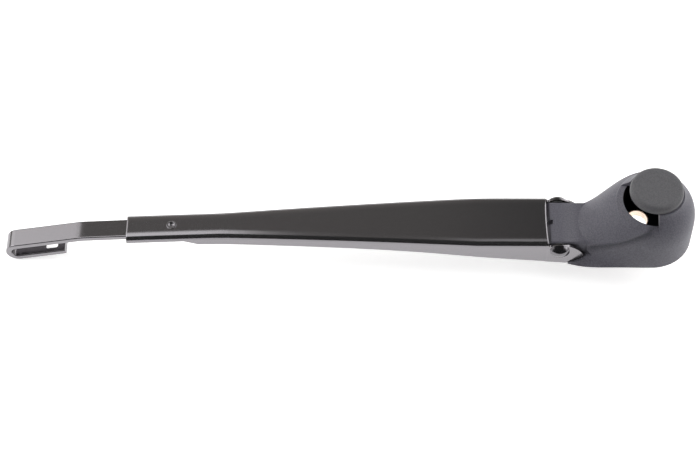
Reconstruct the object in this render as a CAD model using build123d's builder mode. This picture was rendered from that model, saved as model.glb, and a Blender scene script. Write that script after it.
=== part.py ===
from build123d import *
import math
import os

# Rear wiper arm. Millimetres, +Z up, the arm runs along -X.
# The origin is on the spindle axis, at the lower end of the bore's wall.

# Head: base plane, domed tower and nut well (rises are above the base plane)
base_z = -6.5
dome_x = 6.0
wall_r = 18.1
wall_rise = 12.0
shoulder_r = 15.2
sill_rise = 24.0
sill_fall = 4.2
tower_rise = 29.0
collar_r = 12.0
well_r = 13.3
collar_bore_r = 9.7
hollow_r = 15.2
floor_thick = 3.8
window_from = 148.0
window_to = 272.0

# Ramp from the neck up to the tower
ramp_lead = 3.9
lip_drop = 5.0
lip_out = 0.11
skirt_out = 3.45
waist_out = 0.5
rib_x = -7.0
rib_long = 22.0
rib_wide = 24.0
rib_round = 4.0
roof_thick = 1.0

# Spindle bush
bore_r = 4.4
bush_r = 6.4
bush_lip_r = 4.9
bush_lip = 0.9
bush_proud = 0.3

# Nut cap
cap_r = 11.25
cap_thick = 3.8
cap_round = 2.0
cap_edge = 0.4
cap_fit = 0.1
spigot_deep = 2.6
spigot_wall = 1.4

# Folded channel
sheet = 1.0
bend_r = 2.0
ear_half = 12.4
ear_gap = 0.4
ear_lap = 0.7
ear_room = 0.25
relief_r = 0.8
arch_x = -40.5
arch_r = 2480.0
plate_over = 5.1
plate_back = 4.3
plate_hollow = 1.2
ear_run = 6.0
knee_rear = -68.0
knee_front = -177.0
knee_r = 400.0
sleeve_end = -217.7
step_in = 24.7
step_long = 6.0
step_r = 3.0
flange_step = 6.1

# Hinge
pivot_x = -32.9
pivot_z = -2.5
shank_r = 2.2
shank_run = 0.05
head_r = 4.1
head_rim = 0.6
head_high = 1.0
washer_r = 3.5
washer_t = 0.5
washer_gap = 0.1
neck_rise = 3.7
neck_drop = 6.0
neck_toe = 1.0
neck_heel = 10.0
neck_back = 13.0
knuckle_r = 5.2
neck_round = 1.2

# Hook strip
strip_w = 9.0
strip_t = 2.6
strip_side = 0.8
strip_round = 0.6
strip_tail = -103.0
hook_bend_x = -235.5
hook_bend_r = 30.0
hook_slope = 12.3
hook_gap = 5.0
upper_leg = 27.6
lower_leg = 20.5
lock_in = 15.5
lock_long = 5.2
lock_wide = 4.4
lock_round = 0.8
tail_slot = 5.0
tail_slot_w = 2.0

# Strip rivet
rivet_in = 19.3
rivet_r = 1.7
rivet_head_r = 2.15
rivet_sink = 0.6
rivet_wall = 0.4
rivet_dish = 0.5
rivet_foot_r = 3.0
rivet_foot = 1.2
rivet_round = 0.9

# Spring, link and its pin (places are from the pivot)
anchor_back = 75.0
anchor_drop = 0.7
pin_ahead = 5.0
pin_drop = 2.6
pin_r = 1.5
pin_half = 7.0
link_t = 1.8
link_room = 0.3
link_band = 2.4
link_eye = 2.5
link_tip = 2.0
link_long = 28.0
link_arc_r = 6.4
link_arc_x = 5.2
link_arc_y = -0.15
link_arc_to = 168.0
eye_room = 0.25
wire_r = 0.55
coil_r = 1.85
coil_from = 32.0
coil_turns = 12
coil_pitch = 3.1
rear_lead = 3.0
rear_dip = 1.4
front_lead = 6.5
front_rise = 3.2

# Reach of cutting tools past what they cut
past = 8.0
far = 40.0

# Sizes that follow from the ones above
sleeve_half = strip_w / 2 + strip_side + sheet
neck_half = ear_half - sheet - washer_t - 2 * washer_gap
slot_half = ear_half + ear_room
plate_z = pivot_z + plate_over
plate_end = pivot_x - plate_back
step_x = sleeve_end + step_in
rivet_x = sleeve_end + rivet_in
lock_x = hook_bend_x - lock_in
floor_rise = -base_z
neck_top = pivot_z + neck_rise - base_z
ramp_long = dome_x - pivot_x - ramp_lead
lip_half = slot_half + lip_out
skirt_half = slot_half + skirt_out
link_slot = link_t / 2 + link_room
pin_x = pivot_x + pin_ahead
pin_z = pivot_z - pin_drop
anchor_x = pivot_x - anchor_back
anchor_z = pivot_z - anchor_drop
link_reach = math.hypot(anchor_x - pin_x, anchor_z - pin_z)
link_dir = ((anchor_x - pin_x) / link_reach, 0, (anchor_z - pin_z) / link_reach)

# Side view of an ear, from the pivot: its corners, and the notch cut behind its tip
ear_low = (3.0, -8.9)
ear_under = (8.3, -6.6)
ear_tip = (10.6, -3.5)
ear_over = (5.4, 2.3)
ear_top = (0, 3.95)
ear_root = (1.2 - plate_back, 3.2)
ear_heel = (-6.0, -8.0)
notch = ((8.0, 1.0), (14.0, -2.0), (10.4, -3.7))

# Under edge of the flanges, from the pivot
flange_rear = (ear_run - plate_back, -8.5)
flange_line = ((-24.8, -6.0), (-46.3, -4.2), (-89.2, -3.3))

# Planes and axes
dome_axis = Axis((dome_x, 0, 0), (0, 0, 1))
pivot_plane = Plane(origin=(pivot_x, 0, pivot_z), x_dir=(1, 0, 0), z_dir=(0, -1, 0))
pivot_axis = Axis((pivot_x, 0, pivot_z), (0, 1, 0))
pin_plane = Plane(origin=(pin_x, 0, pin_z), x_dir=(1, 0, 0), z_dir=(0, -1, 0))
link_plane = Plane(origin=(pin_x, 0, pin_z), x_dir=link_dir, z_dir=(0, 1, 0))
rivet_tilt = math.asin(1) - math.acos((rivet_x - arch_x) / arch_r)


def dome_plane(turn):
    """Upright plane through the tower's axis, turned about it by degrees."""
    c = math.cos(math.radians(turn))
    s = math.sin(math.radians(turn))
    return Plane(origin=(dome_x, 0, base_z), x_dir=(c, s, 0), z_dir=(s, -c, 0))


def arch_z(x, below=0.0):
    """Height of the channel's arched top face at x, or of a face below it."""
    r = arch_r - below
    return plate_z - arch_r + math.sqrt(r * r - (x - arch_x) ** 2)


def top_arc(x0, x1, below):
    """Arc along the arched top from x0 to x1, drawn below it by a distance."""
    ThreePointArc(*[(x, arch_z(x, below)) for x in (x0, (x0 + x1) / 2, x1)])


def plan_prism(inset):
    """Tall prism over the channel's plan, drawn in by inset."""
    with BuildPart() as prism:
        with BuildSketch(Plane.XY.offset(-far)):
            with BuildLine():
                edge = FilletPolyline(
                    (sleeve_end - past, sleeve_half - inset),
                    (knee_front, sleeve_half - inset),
                    (knee_rear, ear_half - inset),
                    (plate_end + past, ear_half - inset),
                    radius=knee_r,
                )
                other = mirror(edge, about=Plane.XZ)
                Line(edge @ 0, other @ 0)
                Line(edge @ 1, other @ 1)
            make_face()
        extrude(amount=2 * far)
    return prism.part


def bend_edges(part, below):
    """The two bends along the arched top: long edges that lie on it, off centre."""
    found = []
    for edge in part.edges():
        mid = edge.position_at(0.5)
        on_top = abs(mid.Z - arch_z(mid.X, below)) < 0.05
        if on_top and edge.bounding_box().size.X > 3 and abs(mid.Y) > 3:
            found.append(edge)
    return found


def ear_edge(lap, gap):
    """Arcs of an ear's side view about the pivot: lower one lapped, upper one grown by a gap."""
    low = (ear_low[0], ear_low[1] + lap)
    tip = (ear_tip[0] + gap, ear_tip[1])
    top = (ear_top[0], ear_top[1] + gap)
    ThreePointArc(low, (ear_under[0] - 0.7 * lap, ear_under[1] + 0.7 * lap), tip)
    ThreePointArc(tip, (ear_over[0] + 0.7 * gap, ear_over[1] + 0.7 * gap), top)
    return low, top


# Flared ramp, lofted from the neck into the tower, with its sole drawn down beside the ears.
# Each station: share of the ramp's length, sole below the base plane, half widths at the sole,
# waist and upper edge, and rises of that edge and of the crown
with BuildPart() as ramp:
    for share, sole, sole_half, waist, edge_half, edge_rise, crown_rise in (
        (1.0, lip_drop, lip_half, neck_half + waist_out, neck_half, neck_top - 0.8, neck_top),
        (0.8, lip_drop / 2, skirt_half, neck_half + 3 * waist_out, neck_half, neck_top - 1.0, neck_top + 1.8),
        (0.486, 0.0, wall_r, 0.85 * wall_r, 0.815 * wall_r, 0.45 * tower_rise, 0.74 * tower_rise),
        (0.229, 0.0, wall_r, 0.95 * wall_r, 0.87 * wall_r, 0.725 * tower_rise, 0.905 * tower_rise),
        (0.0, 0.0, wall_r, 0.985 * wall_r, 0.85 * wall_r, 0.8 * tower_rise, 0.94 * tower_rise),
    ):
        station = Plane(
            origin=(dome_x - share * ramp_long, 0, base_z), x_dir=(0, 1, 0), z_dir=(1, 0, 0)
        )
        mid_rise = 0.45 * (edge_rise + sole) - sole
        with BuildSketch(station):
            with BuildLine():
                Line((-sole_half, -sole), (sole_half, -sole))
                ThreePointArc((sole_half, -sole), (waist, mid_rise), (edge_half, edge_rise))
                ThreePointArc((edge_half, edge_rise), (0, crown_rise), (-edge_half, edge_rise))
                ThreePointArc((-edge_half, edge_rise), (-waist, mid_rise), (-sole_half, -sole))
            make_face()
    loft()

# Neck that reaches between the ears, round about the pivot
with BuildPart() as neck:
    with BuildSketch(pivot_plane):
        with BuildLine():
            reach = math.sqrt(knuckle_r**2 - neck_rise**2)
            chin = (-knuckle_r / 2, -knuckle_r * math.sqrt(3) / 2)
            ThreePointArc((-reach, neck_rise), (-knuckle_r, 0), chin)
            Polyline(
                chin,
                (neck_toe, -neck_drop),
                (neck_heel, -neck_drop),
                (neck_back, base_z - pivot_z),
                (neck_back, neck_rise),
                (-reach, neck_rise),
            )
        make_face()
    extrude(amount=neck_half, both=True)
    fillet(neck.edges().filter_by(Axis.X).group_by(Axis.Z)[-1], radius=neck_round)

# Moulded head
with BuildPart() as mounting_head:
    # domed tower
    with BuildSketch(dome_plane(0)):
        with BuildLine():
            Line((0, 0), (wall_r, 0))
            Line((wall_r, 0), (wall_r, wall_rise))
            Spline(
                (wall_r, wall_rise),
                (shoulder_r, sill_rise),
                (collar_r, tower_rise),
                tangents=[(0, 1), (-0.35, 1)],
            )
            Line((collar_r, tower_rise), (0, tower_rise))
            Line((0, tower_rise), (0, 0))
        make_face()
    revolve(axis=dome_axis)
    add(ramp.part)
    # sole between the ears cut back to the neck's
    with BuildSketch(pivot_plane):
        with Locations((neck_back - far / 2, -neck_drop - far / 2)):
            Rectangle(far, far)
    extrude(amount=slot_half, both=True, mode=Mode.SUBTRACT)
    add(neck.part)
    # pockets that the ears swing in, then the skirt cut back along the ear
    with BuildSketch(pivot_plane.offset(neck_half), pivot_plane.offset(-slot_half)):
        Circle(math.hypot(*ear_tip) + ear_gap)
        Polygon(*notch, align=None)
        with Locations((-far / 2, 0)):
            Rectangle(far, far)
    extrude(amount=slot_half - neck_half, mode=Mode.SUBTRACT)
    for side in (-1, 1):
        with BuildSketch(pivot_plane.offset(side * slot_half)):
            with BuildLine():
                low, top = ear_edge(ear_lap, ear_gap)
                Polyline(low, (low[0], -far), (-far, -far), (-far, top[1]), top)
            make_face()
            Polygon(*notch, align=None)
        extrude(amount=side * far, mode=Mode.SUBTRACT)
    # nut well, narrowing to the collar that holds the cap
    with BuildSketch(dome_plane(0)):
        with BuildLine():
            Polyline(
                (0, floor_rise + floor_thick),
                (well_r, floor_rise + floor_thick),
                (well_r, sill_rise + cap_edge),
                (collar_bore_r, tower_rise - spigot_deep),
                (collar_bore_r, tower_rise + past),
                (0, tower_rise + past),
                close=True,
            )
        make_face()
    revolve(axis=dome_axis, mode=Mode.SUBTRACT)
    # spray window: the wall above a sloping sill, taken away in one sector
    with BuildSketch(dome_plane(window_from)):
        with BuildLine():
            Polyline(
                (0, sill_rise),
                (well_r, sill_rise),
                (well_r + past, sill_rise - sill_fall),
                (well_r + past, tower_rise + past),
                (0, tower_rise + past),
                close=True,
            )
        make_face()
    revolve(axis=dome_axis, revolution_arc=window_to - window_from, mode=Mode.SUBTRACT)
    # hollow underside below the bush floor
    with BuildSketch(Plane.XY.offset(-floor_rise - past)):
        with Locations((dome_x, 0)):
            Circle(hollow_r)
    extrude(amount=floor_rise + past, mode=Mode.SUBTRACT)
    with BuildSketch(Plane.XY.offset(-floor_rise - past)):
        with Locations((rib_x, 0)):
            RectangleRounded(rib_long, rib_wide, rib_round)
    extrude(amount=floor_rise + past - roof_thick, mode=Mode.SUBTRACT)
    # seat of the bush, with the lip that laps over it
    with BuildSketch(Plane.XY):
        Circle(bush_r)
    extrude(amount=floor_thick - bush_lip, mode=Mode.SUBTRACT)
    with BuildSketch(Plane.XY):
        Circle(bush_lip_r)
    extrude(amount=floor_thick, mode=Mode.SUBTRACT)
    # link slot in the nose and sole, pivot bore and pin holes
    with BuildSketch(pivot_plane):
        with Locations((-knuckle_r / 2 - far / 2, 0)):
            Rectangle(far, far)
        with Locations((pin_ahead + link_eye + link_room - far / 2, -far / 2 + link_room)):
            Rectangle(far, far)
    extrude(amount=link_slot, both=True, mode=Mode.SUBTRACT)
    with BuildSketch(pivot_plane):
        Circle(shank_r + shank_run)
    extrude(amount=neck_half + past, both=True, mode=Mode.SUBTRACT)
    with BuildSketch(pin_plane):
        Circle(pin_r)
    extrude(amount=pin_half, both=True, mode=Mode.SUBTRACT)

# Metal bush moulded into the floor of the well, a little proud below
with BuildPart() as spindle_bush:
    with BuildSketch(Plane.XY.offset(-bush_proud)):
        Circle(bush_r)
    extrude(amount=bush_proud + floor_thick - bush_lip)
    with BuildSketch(Plane.XY):
        Circle(bush_lip_r)
    extrude(amount=floor_thick)
    with BuildSketch(Plane.XY.offset(-bush_proud)):
        Circle(bore_r)
    extrude(amount=bush_proud + floor_thick, mode=Mode.SUBTRACT)
    rims = spindle_bush.edges().filter_by(GeomType.CIRCLE)
    chamfer([e for e in rims if abs(e.radius - bore_r) < 0.01], length=bush_proud)

# Cap: a round-edged disc with a thin spigot, open towards the window
with BuildPart() as nut_cap:
    with BuildSketch(Plane.XY.offset(base_z + tower_rise)):
        with Locations((dome_x, 0)):
            Circle(cap_r)
    extrude(amount=cap_thick)
    fillet(nut_cap.edges().sort_by(Axis.Z)[-1], radius=cap_round)
    chamfer(nut_cap.edges().sort_by(Axis.Z)[0], length=cap_edge)
    with BuildSketch(dome_plane(window_to)):
        with Locations((collar_bore_r - cap_fit - spigot_wall / 2, tower_rise - spigot_deep / 2)):
            Rectangle(spigot_wall, spigot_deep)
    revolve(axis=dome_axis, revolution_arc=360 - window_to + window_from)

# Folded channel: a block trimmed to plan, bent edges rounded, then cored to sheet
with BuildPart() as channel_core:
    with BuildSketch(Plane.XZ):
        with BuildLine():
            top_arc(sleeve_end - past, plate_end + past, sheet)
            Polyline(
                (plate_end + past, arch_z(plate_end + past, sheet)),
                (plate_end + past, -far),
                (sleeve_end - past, -far),
                (sleeve_end - past, arch_z(sleeve_end - past, sheet)),
            )
        make_face()
    extrude(amount=far, both=True)
    add(plan_prism(sheet), mode=Mode.INTERSECT)
    fillet(bend_edges(channel_core.part, sheet), radius=bend_r - sheet)
with BuildPart() as arm_channel:
    step_to = step_x + step_long
    rear = (pivot_x + flange_rear[0], pivot_z + flange_rear[1])
    step_top = (step_x, arch_z(step_x) - sheet - strip_t)
    step_low = (step_to, arch_z(step_to) - flange_step)
    with BuildSketch(Plane.XZ):
        with BuildLine():
            top_arc(sleeve_end, rear[0], 0)
            Line((rear[0], arch_z(rear[0])), rear)
            Spline(rear, *[(pivot_x + x, pivot_z + z) for x, z in flange_line], step_low)
            Polyline(
                step_low,
                step_top,
                (sleeve_end, arch_z(sleeve_end) - sheet - strip_t),
                (sleeve_end, arch_z(sleeve_end)),
            )
        make_face()
    extrude(amount=far, both=True)
    add(plan_prism(0), mode=Mode.INTERSECT)
    fillet(bend_edges(arm_channel.part, 0), radius=bend_r)
    add(channel_core.part, mode=Mode.SUBTRACT)
    steps = [e for e in arm_channel.edges().filter_by(Axis.Y) if e.length < 2 * sheet]
    fillet([e for e in steps if step_x - 1 < e.center().X < step_to + 1], radius=step_r)
    # plate end, hollow across, with the flanges running on into the ears
    with BuildSketch(Plane.XY.offset(pivot_z + ear_root[1])):
        with BuildLine():
            near_side = (plate_end, -far / 2)
            far_side = (plate_end, far / 2)
            ThreePointArc(near_side, (plate_end - plate_hollow, 0), far_side)
            Polyline(far_side, (plate_end + far, far / 2), (plate_end + far, -far / 2), near_side)
        make_face()
    extrude(amount=far, mode=Mode.SUBTRACT)
    with BuildSketch(pivot_plane.offset(ear_half), pivot_plane.offset(sheet - ear_half)):
        with BuildLine():
            low, top = ear_edge(0, 0)
            Polyline(top, ear_root, (ear_heel[0], ear_root[1] - 1.2), ear_heel, low)
        make_face()
    extrude(amount=-sheet)
    # relief at the ear corners, hinge holes and the rivet's countersunk hole
    with BuildSketch(pivot_plane):
        with Locations((ear_root[0] - relief_r, ear_root[1] + relief_r / 4)):
            Circle(relief_r)
        Circle(shank_r)
    extrude(amount=far, both=True, mode=Mode.SUBTRACT)
    rivet_plane = Plane(
        origin=(rivet_x, 0, arch_z(rivet_x)),
        x_dir=(math.cos(rivet_tilt), 0, -math.sin(rivet_tilt)),
        z_dir=(math.sin(rivet_tilt), 0, math.cos(rivet_tilt)),
    )
    with BuildSketch(rivet_plane):
        Circle(rivet_r)
    extrude(amount=sheet * 2, both=True, mode=Mode.SUBTRACT)
    with BuildSketch(rivet_plane):
        Circle(rivet_head_r)
    extrude(amount=-rivet_sink, mode=Mode.SUBTRACT)

# Flat strip, hooked at its end for the blade
with BuildPart() as hook_strip:
    middle = sheet + strip_t / 2
    bend_slope = math.degrees(math.asin((arch_x - hook_bend_x) / arch_r))
    heading = math.radians(180 + bend_slope)
    bend_start = (hook_bend_x, arch_z(hook_bend_x, middle))
    bend_to = (math.cos(heading), math.sin(heading))
    with BuildSketch(Plane.XZ):
        with BuildLine():
            top_arc(strip_tail, hook_bend_x, middle)
            knee = JernArc(bend_start, bend_to, hook_bend_r, hook_slope - bend_slope)
            leg = Line(knee @ 1, (knee @ 1) + (knee % 1) * upper_leg)
            turn = JernArc(leg @ 1, leg % 1, (hook_gap + strip_t) / 2, 180)
            Line(turn @ 1, (turn @ 1) + (turn % 1) * lower_leg)
        trace(line_width=strip_t)
    extrude(amount=strip_w / 2, both=True)
    sides = hook_strip.faces().filter_by(Axis.Y)
    long_edges = [e for f in sides for e in f.edges() if e.length > strip_t + 0.1]
    fillet(long_edges, radius=strip_round)
    # lock slot in the lower leg, slot for the spring in the tail, rivet hole
    lock_z = (leg @ 1).Y - strip_t / 2
    with BuildSketch(Plane.XY.offset(lock_z)):
        with Locations((lock_x, 0)):
            RectangleRounded(lock_long, lock_wide, lock_round)
    extrude(amount=-far, mode=Mode.SUBTRACT)
    with BuildSketch(Plane.XY):
        with Locations((anchor_x, 0)):
            SlotOverall(tail_slot, tail_slot_w)
    extrude(amount=far, both=True, mode=Mode.SUBTRACT)
    with BuildSketch(rivet_plane):
        Circle(rivet_r)
    extrude(amount=far / 4, both=True, mode=Mode.SUBTRACT)

# Tubular rivet through channel and strip
with BuildPart() as strip_rivet:
    grip = sheet + strip_t + shank_run
    with BuildSketch(rivet_plane):
        Circle(rivet_r)
    extrude(amount=-grip)
    with BuildSketch(rivet_plane):
        Circle(rivet_head_r)
    extrude(amount=-rivet_sink)
    with BuildSketch(rivet_plane.offset(-grip)):
        Circle(rivet_foot_r)
    extrude(amount=-rivet_foot)
    with BuildSketch(rivet_plane):
        Circle(rivet_r - rivet_wall)
    extrude(amount=-rivet_dish, mode=Mode.SUBTRACT)
    fillet(strip_rivet.edges().filter_by(GeomType.CIRCLE).sort_by(Axis.Z)[0], radius=rivet_round)

# Hinge rivet with a domed head at each end
with BuildPart() as pivot_rivet:
    with BuildSketch(Plane.YZ.offset(pivot_x)):
        with BuildLine():
            out = ear_half + head_rim
            crown = (out + head_high, pivot_z)
            brow = (out, pivot_z + head_r)
            dome_r = (head_r**2 + head_high**2) / (2 * head_high)
            Polyline(
                (0, pivot_z),
                (0, pivot_z + shank_r),
                (ear_half, pivot_z + shank_r),
                (ear_half, pivot_z + head_r),
                brow,
            )
            RadiusArc(brow, crown, dome_r)
            Line(crown, (0, pivot_z))
        make_face()
    revolve(axis=pivot_axis)
    mirror(about=Plane.XZ)

# Two washers between the neck and the ears
with BuildPart() as pivot_washers:
    for side in (-1, 1):
        with BuildSketch(pivot_plane.offset(side * (neck_half + washer_gap))):
            Circle(washer_r)
            Circle(shank_r + shank_run, mode=Mode.SUBTRACT)
        extrude(amount=side * washer_t)

# Pin in the neck that the link hooks on
with BuildPart() as spring_pin:
    with BuildSketch(pin_plane):
        Circle(pin_r)
    extrude(amount=pin_half, both=True)

# C-shaped link that passes below the hinge rivet
with BuildPart() as spring_link:
    with BuildSketch(link_plane):
        with BuildLine():
            bow = CenterArc((link_arc_x, link_arc_y), link_arc_r, 180, link_arc_to)
            Line(bow @ 1, (link_long, 0))
        trace(line_width=link_band)
        Circle(link_eye)
        with Locations((link_long, 0)):
            Circle(link_tip)
            Circle(wire_r + eye_room, mode=Mode.SUBTRACT)
        Circle(pin_r + shank_run, mode=Mode.SUBTRACT)
    extrude(amount=link_t / 2, both=True)

# Coil spring, hooked through the link's eye and the strip's tail
with BuildPart() as tension_spring:
    coil_long = coil_turns * coil_pitch
    coil_end = coil_from + coil_long
    in_link = link_plane.from_local_coords
    with BuildLine() as coil:
        Helix(coil_pitch, coil_long, coil_r, center=in_link((coil_from, 0, 0)), direction=link_dir)
    with BuildSketch(Plane(origin=coil.line @ 0, z_dir=coil.line % 0)):
        Circle(wire_r)
    sweep(path=coil.line, is_frenet=True)
    beside = link_t / 2 + 2 * wire_r
    rear_hook = [
        in_link((coil_from + wire_r, -coil_r, -wire_r / 2)),
        in_link((link_long + rear_lead, -rear_dip, -beside)),
        in_link((link_long, 0, -beside)),
        in_link((link_long, 0, beside)),
    ]
    front_hook = [
        in_link((coil_end - wire_r, -coil_r, wire_r / 2)),
        in_link((coil_end + front_lead, 0, 0)),
        in_link((link_reach, 0, 0)),
        in_link((link_reach, front_rise, 0)),
    ]
    for corners in (rear_hook, front_hook):
        with BuildLine() as hook:
            Polyline(*corners)
        with BuildSketch(Plane(origin=hook.line @ 0, z_dir=hook.line % 0)):
            Circle(wire_r)
        sweep(path=hook.line, transition=Transition.ROUND)

# Write one file for each piece
os.makedirs("parts", exist_ok=True)
pieces = {
    "mounting_head": mounting_head,
    "spindle_bush": spindle_bush,
    "nut_cap": nut_cap,
    "arm_channel": arm_channel,
    "hook_strip": hook_strip,
    "strip_rivet": strip_rivet,
    "pivot_rivet": pivot_rivet,
    "pivot_washers": pivot_washers,
    "spring_pin": spring_pin,
    "spring_link": spring_link,
    "tension_spring": tension_spring,
}
for name, piece in pieces.items():
    piece.part.label = name
    export_step(piece.part, f"parts/{name}.step")
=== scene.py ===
import math

import bpy
from mathutils import Matrix, Vector


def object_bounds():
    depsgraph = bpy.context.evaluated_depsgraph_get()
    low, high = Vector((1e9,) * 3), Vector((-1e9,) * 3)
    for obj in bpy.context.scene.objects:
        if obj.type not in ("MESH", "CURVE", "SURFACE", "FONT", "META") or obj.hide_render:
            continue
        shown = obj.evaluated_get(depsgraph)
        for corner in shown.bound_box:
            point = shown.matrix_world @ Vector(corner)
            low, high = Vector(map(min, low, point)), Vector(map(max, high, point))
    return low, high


# Looks, light and camera for the wiper arm. Metres, in the CAD part's frame.

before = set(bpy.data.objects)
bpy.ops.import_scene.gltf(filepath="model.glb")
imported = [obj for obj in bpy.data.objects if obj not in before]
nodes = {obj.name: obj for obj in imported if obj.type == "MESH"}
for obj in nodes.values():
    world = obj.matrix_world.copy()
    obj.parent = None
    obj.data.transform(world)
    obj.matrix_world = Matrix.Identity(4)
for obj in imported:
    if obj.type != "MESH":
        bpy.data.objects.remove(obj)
cad_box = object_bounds()
scene = bpy.context.scene
scene.view_settings.view_transform = "Standard"

# Camera: where the photograph was taken from
IMAGE_WIDE = 700
SENSOR_MM = 36.0
FOCAL_PX = 2067.0
CAMERA_FAR = 0.887
TILT = math.radians(35.0)
ROLL = math.radians(0.3)
LOOK_AT = Vector((-0.122, -0.0009, -0.0065))

# Floor: its own white, and what it adds for the camera and in reflections
FLOOR_DROP = 0.0005
FLOOR_SIZE = 6.0
FLOOR_WHITE = 0.9
FLOOR_SEEN = 0.62
FLOOR_MIRRORED = 1.0

# Room: dark on the camera's side; the far side's brightness goes by the height of the direction
ROOM_NEAR = 0.05
ROOM_FAR = ((0.0, 0.8), (0.5, 0.42), (0.82, 0.165), (1.0, 0.18))
ROOM_TINT = (1.0, 0.95, 0.87)
# Where the far side begins, and where it is dimmed: toward the arm's ends, and high on the right
FAR_FROM, FAR_TO = -0.35, 0.0
ENDS_FROM, ENDS_TO, ENDS_KEPT = 0.6, 0.9, 0.2
RIGHT_FROM, RIGHT_TO, RIGHT_LOST = 0.0, 0.1, 0.85
HIGH_FROM, HIGH_TO = 0.45, 0.65

# Softboxes: place, what each one faces, size and brightness as seen in a mirror
ARM = (-0.12, 0.0, 0.0)
SOFTBOXES = {
    "left": ((-1.15, 0.62, 0.72), ARM, (0.85, 0.85), 1.7),
    "left_low": ((-1.3, 0.0, 0.45), ARM, (1.4, 1.3), 1.15),
    "above_sleeve": ((-0.95, 0.1, 0.9), (-0.95, 0.1, 0.0), (1.3, 0.7), 2.2),
    "above_hinge": ((0.14, 0.19, 0.9), (0.14, 0.19, 0.0), (0.36, 0.4), 0.7),
    "above_right": ((0.85, 0.15, 0.85), ARM, (1.6, 0.75), 2.6),
    "right_low": ((1.2, 0.1, 0.4), ARM, (1.6, 0.8), 1.2),
    "behind": ((-0.1, 1.3, 0.5), ARM, (1.6, 0.5), 0.8),
}

# Nut well in the head: its inside gets painted shade, a darkened base colour, up to the rim's bevel
WELL_X = 0.006
WELL_R = 0.0134
WELL_FLOOR = 0.0036
WELL_TOP = 0.0179
WELL_BEVEL = 1.8
WELL_SHADE_KEPT = 0.06

# Crease along both sides of the ramp, with painted shade, a darkened base colour, in a band under it
CREASE_X, CREASE_Z = -0.0215, -0.0014
CREASE_RISE = 0.75
CREASE_SOFT = 0.0008
CREASE_BEGINS = (-0.0225, -0.0195)
CREASE_ENDS = (0.009, 0.003)
CREASE_SHADE_DEEP = 0.0045
CREASE_SHADE_BESIDE = (0.009, 0.011)
CREASE_SHADE_KEPT = 0.5

# Saddle where the neck rises into the ramp
SADDLE_FROM, SADDLE_TO = -0.0325, -0.0245
SADDLE_RISE = 0.003

# Grained plastic: how strongly it mirrors, in the open and where shade is painted, and its grain
SHEEN = 0.25
PAINTED_SHADE_SHEEN = 0.05
GRAIN_SCALE, GRAIN_DETAIL, GRAIN_ROUGH = 1700, 3.0, 0.6
GRAIN_BUMP, GRAIN_DEPTH = 0.2, 0.00008

# Folded channel: plan, arch of the top, bends with the easing beside them, and cut ends
SLEEVE_X, SLEEVE_HALF = -0.177, 0.0063
EAR_X, EAR_HALF = -0.068, 0.0124
ARCH_X, ARCH_Z, ARCH_R = -0.0405, 0.0026, 2.48
BEND_R = 0.002
BEND_FALL = 0.0034
SHOULDER = 0.004
SHOULDER_TILT = 0.13
SLEEVE_END = -0.2177
PLATE_END = -0.0384
PLATE_HOLLOW = 3.0
EDGE_WORN = 0.0006
EDGE_FALL = 0.00015

# Rivets: rolled ring round a dish on the strip's, dome on the hinge's
STRIP_RIVET_X = -0.1984
RING_IN, RING_OUT = 0.0013, 0.00215
RING_TILT = 0.75
RING_MIDDLE = 0.00001
PIVOT_X, DOME_Z = -0.0329, -0.0043
DOME_R = 0.0041
DOME_TILT = 1.2

# A worked-out normal is used where the mesh faces it by at least this cosine
FACING = 0.6

# Black paint: tint of its gloss, and its orange peel
PAINT_TINT = (0.985, 0.945, 1.0, 1)
PEEL_SCALE, PEEL_DARK = 420, 0.9
PEEL_BUMP, PEEL_DEPTH = 0.05, 0.00005

# Bare metal's streaks
STREAK_SCALE = 900


def new_material(name):
    """A material with an empty Principled shader, and its nodes."""
    material = bpy.data.materials.new(name)
    material.use_nodes = True
    tree = material.node_tree
    return material, tree, tree.nodes["Principled BSDF"]


def feed(tree, value, socket):
    """Set a socket from a number or from another socket."""
    if isinstance(value, (int, float)):
        socket.default_value = value
    else:
        tree.links.new(value, socket)


def math_node(tree, operation, a, b=0.0):
    """One Math node; a and b are numbers or sockets."""
    node = tree.nodes.new("ShaderNodeMath")
    node.operation = operation
    feed(tree, a, node.inputs[0])
    feed(tree, b, node.inputs[1])
    return node.outputs[0]


def plus(tree, a, b):
    return math_node(tree, "ADD", a, b)


def minus(tree, a, b):
    return math_node(tree, "SUBTRACT", a, b)


def times(tree, a, b):
    return math_node(tree, "MULTIPLY", a, b)


def vector_node(tree, operation, a, b=None):
    """One Vector Math node on sockets; returns the node."""
    node = tree.nodes.new("ShaderNodeVectorMath")
    node.operation = operation
    tree.links.new(a, node.inputs[0])
    if b is not None:
        tree.links.new(b, node.inputs[1])
    return node


def spread(tree, value, low, high, to_low=0.0, to_high=1.0, smooth=False):
    """Map a value from one range to another, held at the ends."""
    node = tree.nodes.new("ShaderNodeMapRange")
    node.interpolation_type = "SMOOTHSTEP" if smooth else "LINEAR"
    feed(tree, value, node.inputs["Value"])
    limits = {"From Min": low, "From Max": high, "To Min": to_low, "To Max": to_high}
    for socket, number in limits.items():
        node.inputs[socket].default_value = number
    return node.outputs["Result"]


def coordinates(tree, kind="Object"):
    """X, Y and Z sockets of a point, or of a direction in the world."""
    place = tree.nodes.new("ShaderNodeTexCoord")
    split = tree.nodes.new("ShaderNodeSeparateXYZ")
    tree.links.new(place.outputs[kind], split.inputs[0])
    return split.outputs["X"], split.outputs["Y"], split.outputs["Z"]


def squared_distance(tree, a, b):
    return plus(tree, times(tree, a, a), times(tree, b, b))


def noise(tree, scale, detail=2.0, roughness=0.5):
    """Noise in the object's own coordinates."""
    place = tree.nodes.new("ShaderNodeTexCoord")
    texture = tree.nodes.new("ShaderNodeTexNoise")
    texture.inputs["Scale"].default_value = scale
    texture.inputs["Detail"].default_value = detail
    texture.inputs["Roughness"].default_value = roughness
    tree.links.new(place.outputs["Object"], texture.inputs["Vector"])
    return texture.outputs["Fac"]


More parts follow.
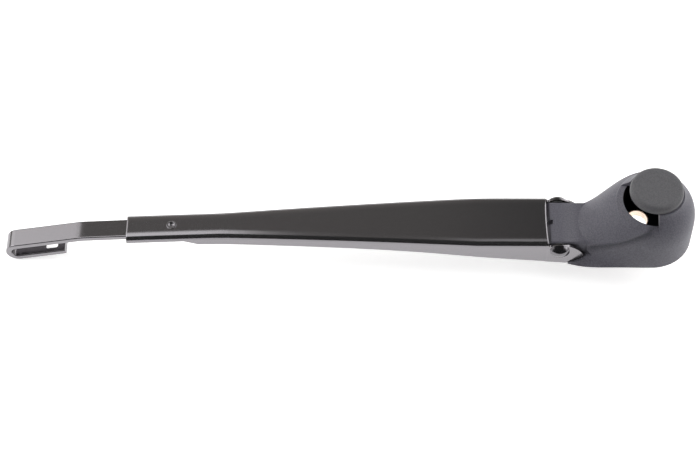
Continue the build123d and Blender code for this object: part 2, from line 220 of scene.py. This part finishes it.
def ramp(tree, fac, low, high, start=0.35, end=0.65):
    """Colour ramp between two colours, driven by fac."""
    node = tree.nodes.new("ShaderNodeValToRGB")
    stops = node.color_ramp.elements
    stops[0].position, stops[0].color = start, (*low, 1)
    stops[1].position, stops[1].color = end, (*high, 1)
    tree.links.new(fac, node.inputs["Fac"])
    return node.outputs["Color"]


def dimmed(tree, colour, factor):
    """A colour times a number socket."""
    node = vector_node(tree, "SCALE", colour)
    tree.links.new(factor, node.inputs["Scale"])
    return node.outputs["Vector"]


def bump(tree, shader, height, strength, distance, under=None):
    """Bump on a shader's normal, on top of another normal."""
    node = tree.nodes.new("ShaderNodeBump")
    node.inputs["Strength"].default_value = strength
    node.inputs["Distance"].default_value = distance
    tree.links.new(height, node.inputs["Height"])
    if under:
        tree.links.new(under, node.inputs["Normal"])
    tree.links.new(node.outputs["Normal"], shader.inputs["Normal"])
    return node.outputs["Normal"]


def well_shade_mask(tree, x, y, z):
    """Mask for the painted shade in the nut well: one inside the well, nought elsewhere."""
    radius = math_node(tree, "SQRT", squared_distance(tree, minus(tree, x, WELL_X), y))
    above = math_node(tree, "MAXIMUM", minus(tree, z, WELL_TOP), 0.0)
    reach = plus(tree, radius, times(tree, above, WELL_BEVEL))
    inside = math_node(tree, "LESS_THAN", reach, WELL_R)
    return times(tree, inside, math_node(tree, "GREATER_THAN", z, WELL_FLOOR))


def crease_shade_mask(tree, x, y, z):
    """Mask for the painted shade under the crease: one just under the crease on either side of the ramp,
    fading below it.
    """
    crease = times(tree, minus(tree, x, CREASE_X), CREASE_RISE)
    height = minus(tree, minus(tree, z, CREASE_Z), crease)
    fading = spread(tree, height, -CREASE_SHADE_DEEP, 0.0)
    under = times(tree, fading, spread(tree, height, CREASE_SOFT, -CREASE_SOFT))
    beside = spread(tree, math_node(tree, "ABSOLUTE", y), *CREASE_SHADE_BESIDE)
    span = times(tree, spread(tree, x, *CREASE_BEGINS), spread(tree, x, *CREASE_ENDS))
    return times(tree, under, times(tree, beside, span))


def grained_plastic(name, low, high, roughness, moulded=False):
    """Black moulding with a fine grain; the head's own gets painted shade, a darkened base colour, in its
    well and in a band under its creases.
    """
    material, tree, shader = new_material(name)
    grain = noise(tree, GRAIN_SCALE, GRAIN_DETAIL, GRAIN_ROUGH)
    colour = ramp(tree, grain, low, high)
    shader.inputs["Specular IOR Level"].default_value = SHEEN
    under = None
    if moulded:
        x, y, z = coordinates(tree)
        well_shade = well_shade_mask(tree, x, y, z)
        crease_shade = crease_shade_mask(tree, x, y, z)
        # painted shade: the base colour is darkened inside the nut well
        colour = dimmed(tree, colour, spread(tree, well_shade, 0.0, 1.0, 1.0, WELL_SHADE_KEPT))
        # painted shade: the base colour is darkened in a band under the crease
        colour = dimmed(tree, colour, spread(tree, crease_shade, 0.0, 1.0, 1.0, CREASE_SHADE_KEPT))
        # less sheen where the painted shade is, in the well and under the crease
        painted_shade = math_node(tree, "MAXIMUM", well_shade, crease_shade)
        sheen = spread(tree, painted_shade, 0.0, 1.0, SHEEN, PAINTED_SHADE_SHEEN)
        tree.links.new(sheen, shader.inputs["Specular IOR Level"])
        saddle = spread(tree, x, SADDLE_FROM, SADDLE_TO, 0.0, SADDLE_RISE, smooth=True)
        under = bump(tree, shader, saddle, 1.0, 1.0)
    tree.links.new(colour, shader.inputs["Base Color"])
    shader.inputs["Roughness"].default_value = roughness
    bump(tree, shader, grain, GRAIN_BUMP, GRAIN_DEPTH, under)
    return material


def set_normal(tree, x, y, z):
    """World normal from an object-space vector, only where the mesh faces about the same way."""
    vector = tree.nodes.new("ShaderNodeCombineXYZ")
    for socket, part in zip("XYZ", (x, y, z)):
        tree.links.new(part, vector.inputs[socket])
    unit = vector_node(tree, "NORMALIZE", vector.outputs[0]).outputs["Vector"]
    mesh = tree.nodes.new("ShaderNodeTexCoord")
    same = vector_node(tree, "DOT_PRODUCT", mesh.outputs["Normal"], unit).outputs["Value"]
    turn = tree.nodes.new("ShaderNodeVectorTransform")
    turn.vector_type = "NORMAL"
    turn.convert_from = "OBJECT"
    turn.convert_to = "WORLD"
    tree.links.new(unit, turn.inputs[0])
    geometry = tree.nodes.new("ShaderNodeNewGeometry")
    # of the Mix node's sockets, the vectors A and B are inputs 4 and 5, and their mix is output 1
    mix = tree.nodes.new("ShaderNodeMix")
    mix.data_type = "VECTOR"
    tree.links.new(math_node(tree, "GREATER_THAN", same, FACING), mix.inputs[0])
    tree.links.new(geometry.outputs["Normal"], mix.inputs[4])
    tree.links.new(turn.outputs[0], mix.inputs[5])
    return mix.outputs[1]


def folded_normal(tree, x, y, z):
    """Normal of the folded sheet: arched top, easing into round bends and flat flanges."""
    half = spread(tree, x, SLEEVE_X, EAR_X, SLEEVE_HALF, EAR_HALF)
    inward = minus(tree, half, math_node(tree, "ABSOLUTE", y))
    bend = spread(tree, inward, BEND_R, 0.0)
    shoulder = spread(tree, inward, SHOULDER, BEND_R, 0.0, SHOULDER_TILT)
    sideways = math_node(tree, "MAXIMUM", bend, shoulder)
    aside = times(tree, sideways, math_node(tree, "SIGN", y))
    along = minus(tree, x, ARCH_X)
    sag = math_node(tree, "DIVIDE", times(tree, along, along), 2 * ARCH_R)
    depth = minus(tree, minus(tree, ARCH_Z, sag), z)
    upward = spread(tree, depth, 0.0, BEND_FALL, 1.0, 0.0)
    tilt = times(tree, math_node(tree, "DIVIDE", along, ARCH_R), upward)
    return set_normal(tree, tilt, aside, upward)


def rivet_normal(tree):
    """Normals of the two rivets: a rolled ring round a dish for the strip's, a dome for the hinge's."""
    x, y, z = coordinates(tree)
    along = minus(tree, x, STRIP_RIVET_X)
    distance = math_node(tree, "SQRT", squared_distance(tree, along, y))
    radius = math_node(tree, "MAXIMUM", distance, RING_MIDDLE)
    dish = spread(tree, radius, 0.0, RING_IN, 0.0, -RING_TILT)
    ring = spread(tree, radius, RING_IN, RING_OUT, 0.0, 2 * RING_TILT)
    slope = math_node(tree, "DIVIDE", plus(tree, dish, ring), radius)
    bulge = DOME_TILT / DOME_R
    over = times(tree, minus(tree, x, PIVOT_X), bulge)
    up = times(tree, minus(tree, z, DOME_Z), bulge)
    strip_rivet = (times(tree, along, slope), times(tree, y, slope), 1.0)
    hinge_rivet = (over, math_node(tree, "SIGN", y), up)
    on_strip = math_node(tree, "LESS_THAN", x, (STRIP_RIVET_X + PIVOT_X) / 2)
    parts = []
    for of_strip, of_hinge in zip(strip_rivet, hinge_rivet):
        gap = minus(tree, of_strip, of_hinge)
        parts.append(plus(tree, of_hinge, times(tree, gap, on_strip)))
    return set_normal(tree, *parts)


def black_paint(name, shade, roughness, ior, folded=False, rivets=False):
    """Sprayed black paint with a faint orange peel."""
    material, tree, shader = new_material(name)
    peel = noise(tree, PEEL_SCALE)
    low = tuple(PEEL_DARK * c for c in shade)
    tree.links.new(ramp(tree, peel, low, shade), shader.inputs["Base Color"])
    shader.inputs["Roughness"].default_value = roughness
    shader.inputs["IOR"].default_value = ior
    shader.inputs["Specular Tint"].default_value = PAINT_TINT
    under = rivet_normal(tree) if rivets else None
    if folded:
        # smooth bends, and a little ease at the sheet's cut ends
        x, y, z = coordinates(tree)
        past_end = minus(tree, x, times(tree, times(tree, y, y), PLATE_HOLLOW))
        fall = 0.0
        for along, end, way in ((x, SLEEVE_END, 1), (past_end, PLATE_END, -1)):
            near_end = spread(tree, along, end + way * EDGE_WORN, end)
            worn = times(tree, math_node(tree, "POWER", near_end, 2.0), -EDGE_FALL)
            fall = plus(tree, worn, fall)
        under = bump(tree, shader, fall, 1.0, 1.0, folded_normal(tree, x, y, z))
    bump(tree, shader, peel, PEEL_BUMP, PEEL_DEPTH, under)
    return material


def bare_metal(name, low, high, roughness):
    """Metal with a fine turned or drawn streak."""
    material, tree, shader = new_material(name)
    streak = noise(tree, STREAK_SCALE)
    tree.links.new(ramp(tree, streak, low, high), shader.inputs["Base Color"])
    shader.inputs["Metallic"].default_value = 1.0
    shader.inputs["Roughness"].default_value = roughness
    return material


head_plastic = grained_plastic("head_plastic", (0.092, 0.09, 0.107), (0.135, 0.132, 0.158), 0.5, moulded=True)
cap_plastic = grained_plastic("cap_plastic", (0.09, 0.0895, 0.095), (0.117, 0.116, 0.124), 0.5)
channel_paint = black_paint("black_paint", (0.02, 0.02, 0.02), 0.16, 2.5, folded=True)
strip_paint = black_paint("strip_paint", (0.02, 0.02, 0.02), 0.15, 2.5)
rivet_paint = black_paint("rivet_paint", (0.008, 0.008, 0.009), 0.15, 2.2, rivets=True)
washer_plastic = grained_plastic("washer_plastic", (0.03, 0.03, 0.03), (0.05, 0.05, 0.05), 0.5)
bush_metal = bare_metal("bush_metal", (0.82, 0.65, 0.52), (0.9, 0.74, 0.61), 0.4)
plain_steel = bare_metal("plain_steel", (0.45, 0.45, 0.46), (0.55, 0.55, 0.56), 0.35)
spring_steel = bare_metal("spring_steel", (0.35, 0.35, 0.36), (0.45, 0.45, 0.46), 0.35)

FINISH = {
    "mounting_head": head_plastic,
    "nut_cap": cap_plastic,
    "spindle_bush": bush_metal,
    "arm_channel": channel_paint,
    "hook_strip": strip_paint,
    "strip_rivet": rivet_paint,
    "pivot_rivet": rivet_paint,
    "pivot_washers": washer_plastic,
    "spring_pin": plain_steel,
    "spring_link": plain_steel,
    "tension_spring": spring_steel,
}
for name, material in FINISH.items():
    slots = nodes[name].data.materials
    slots.clear()
    slots.append(material)

# Floor: white to the camera and in reflections, and it keeps the shadow
bpy.ops.mesh.primitive_plane_add(size=FLOOR_SIZE, location=(ARM[0], 0, cad_box[0][2] - FLOOR_DROP))
floor = bpy.context.object
floor.name = "floor"
material, tree, shader = new_material("floor_white")
shader.inputs["Base Color"].default_value = (FLOOR_WHITE, FLOOR_WHITE, FLOOR_WHITE, 1)
shader.inputs["Roughness"].default_value = 1.0
shader.inputs["Specular IOR Level"].default_value = 0.0
path = tree.nodes.new("ShaderNodeLightPath")
seen = times(tree, path.outputs["Is Camera Ray"], FLOOR_SEEN)
through = math_node(tree, "MAXIMUM", path.outputs["Is Glossy Ray"], path.outputs["Is Transmission Ray"])
mirrored = times(tree, through, FLOOR_MIRRORED)
shader.inputs["Emission Color"].default_value = (1, 1, 1, 1)
tree.links.new(math_node(tree, "MAXIMUM", seen, mirrored), shader.inputs["Emission Strength"])
floor.data.materials.append(material)

# World: the room's brightness by direction, and white to the camera
world = bpy.data.worlds.new("studio")
scene.world = world
world.use_nodes = True
tree = world.node_tree
x, y, z = coordinates(tree, "Generated")
levels = tree.nodes.new("ShaderNodeValToRGB")
stops = levels.color_ramp.elements
while len(stops) < len(ROOM_FAR):
    stops.new(0.5)
for stop, (height, level) in zip(stops, ROOM_FAR):
    stop.position = height
    stop.color = (*(level * c for c in ROOM_TINT), 1)
tree.links.new(z, levels.inputs["Fac"])
far_side = spread(tree, y, FAR_FROM, FAR_TO, smooth=True)
right_end = spread(tree, x, RIGHT_FROM, RIGHT_TO, 0.0, RIGHT_LOST, smooth=True)
high_up = spread(tree, z, HIGH_FROM, HIGH_TO, smooth=True)
off_right = minus(tree, 1.0, times(tree, right_end, high_up))
sideways = math_node(tree, "ABSOLUTE", x)
between_ends = spread(tree, sideways, ENDS_FROM, ENDS_TO, 1.0, ENDS_KEPT, smooth=True)
kept = times(tree, off_right, between_ends)
far_light = dimmed(tree, levels.outputs["Color"], times(tree, far_side, kept))
total = vector_node(tree, "ADD", far_light)
total.inputs[1].default_value = (ROOM_NEAR, ROOM_NEAR, ROOM_NEAR)
path = tree.nodes.new("ShaderNodeLightPath")
backdrop = vector_node(tree, "MAXIMUM", total.outputs["Vector"], path.outputs["Is Camera Ray"])
tree.links.new(backdrop.outputs["Vector"], tree.nodes["Background"].inputs["Color"])

# Softboxes
for name, (at, aim, size, level) in SOFTBOXES.items():
    lamp = bpy.data.lights.new(name, "AREA")
    lamp.shape = "RECTANGLE"
    lamp.size, lamp.size_y = size
    lamp.energy = level * math.pi * size[0] * size[1]
    holder = bpy.data.objects.new(name, lamp)
    scene.collection.objects.link(holder)
    holder.location = at
    holder.rotation_euler = (Vector(aim) - Vector(at)).to_track_quat("-Z", "Y").to_euler()

# Camera, set by its own axes
toward = Vector((0, -math.sin(TILT), math.cos(TILT)))
level = Vector((1, 0, 0))
rise = toward.cross(level)
right = math.cos(ROLL) * level + math.sin(ROLL) * rise
up = math.cos(ROLL) * rise - math.sin(ROLL) * level
place = LOOK_AT + CAMERA_FAR * toward
lens = bpy.data.cameras.new("camera")
lens.sensor_width = SENSOR_MM
lens.lens = FOCAL_PX / IMAGE_WIDE * SENSOR_MM
camera = bpy.data.objects.new("camera", lens)
scene.collection.objects.link(camera)
camera.matrix_world = Matrix((
    (right.x, up.x, toward.x, place.x),
    (right.y, up.y, toward.y, place.y),
    (right.z, up.z, toward.z, place.z),
    (0, 0, 0, 1),
))
scene.camera = camera
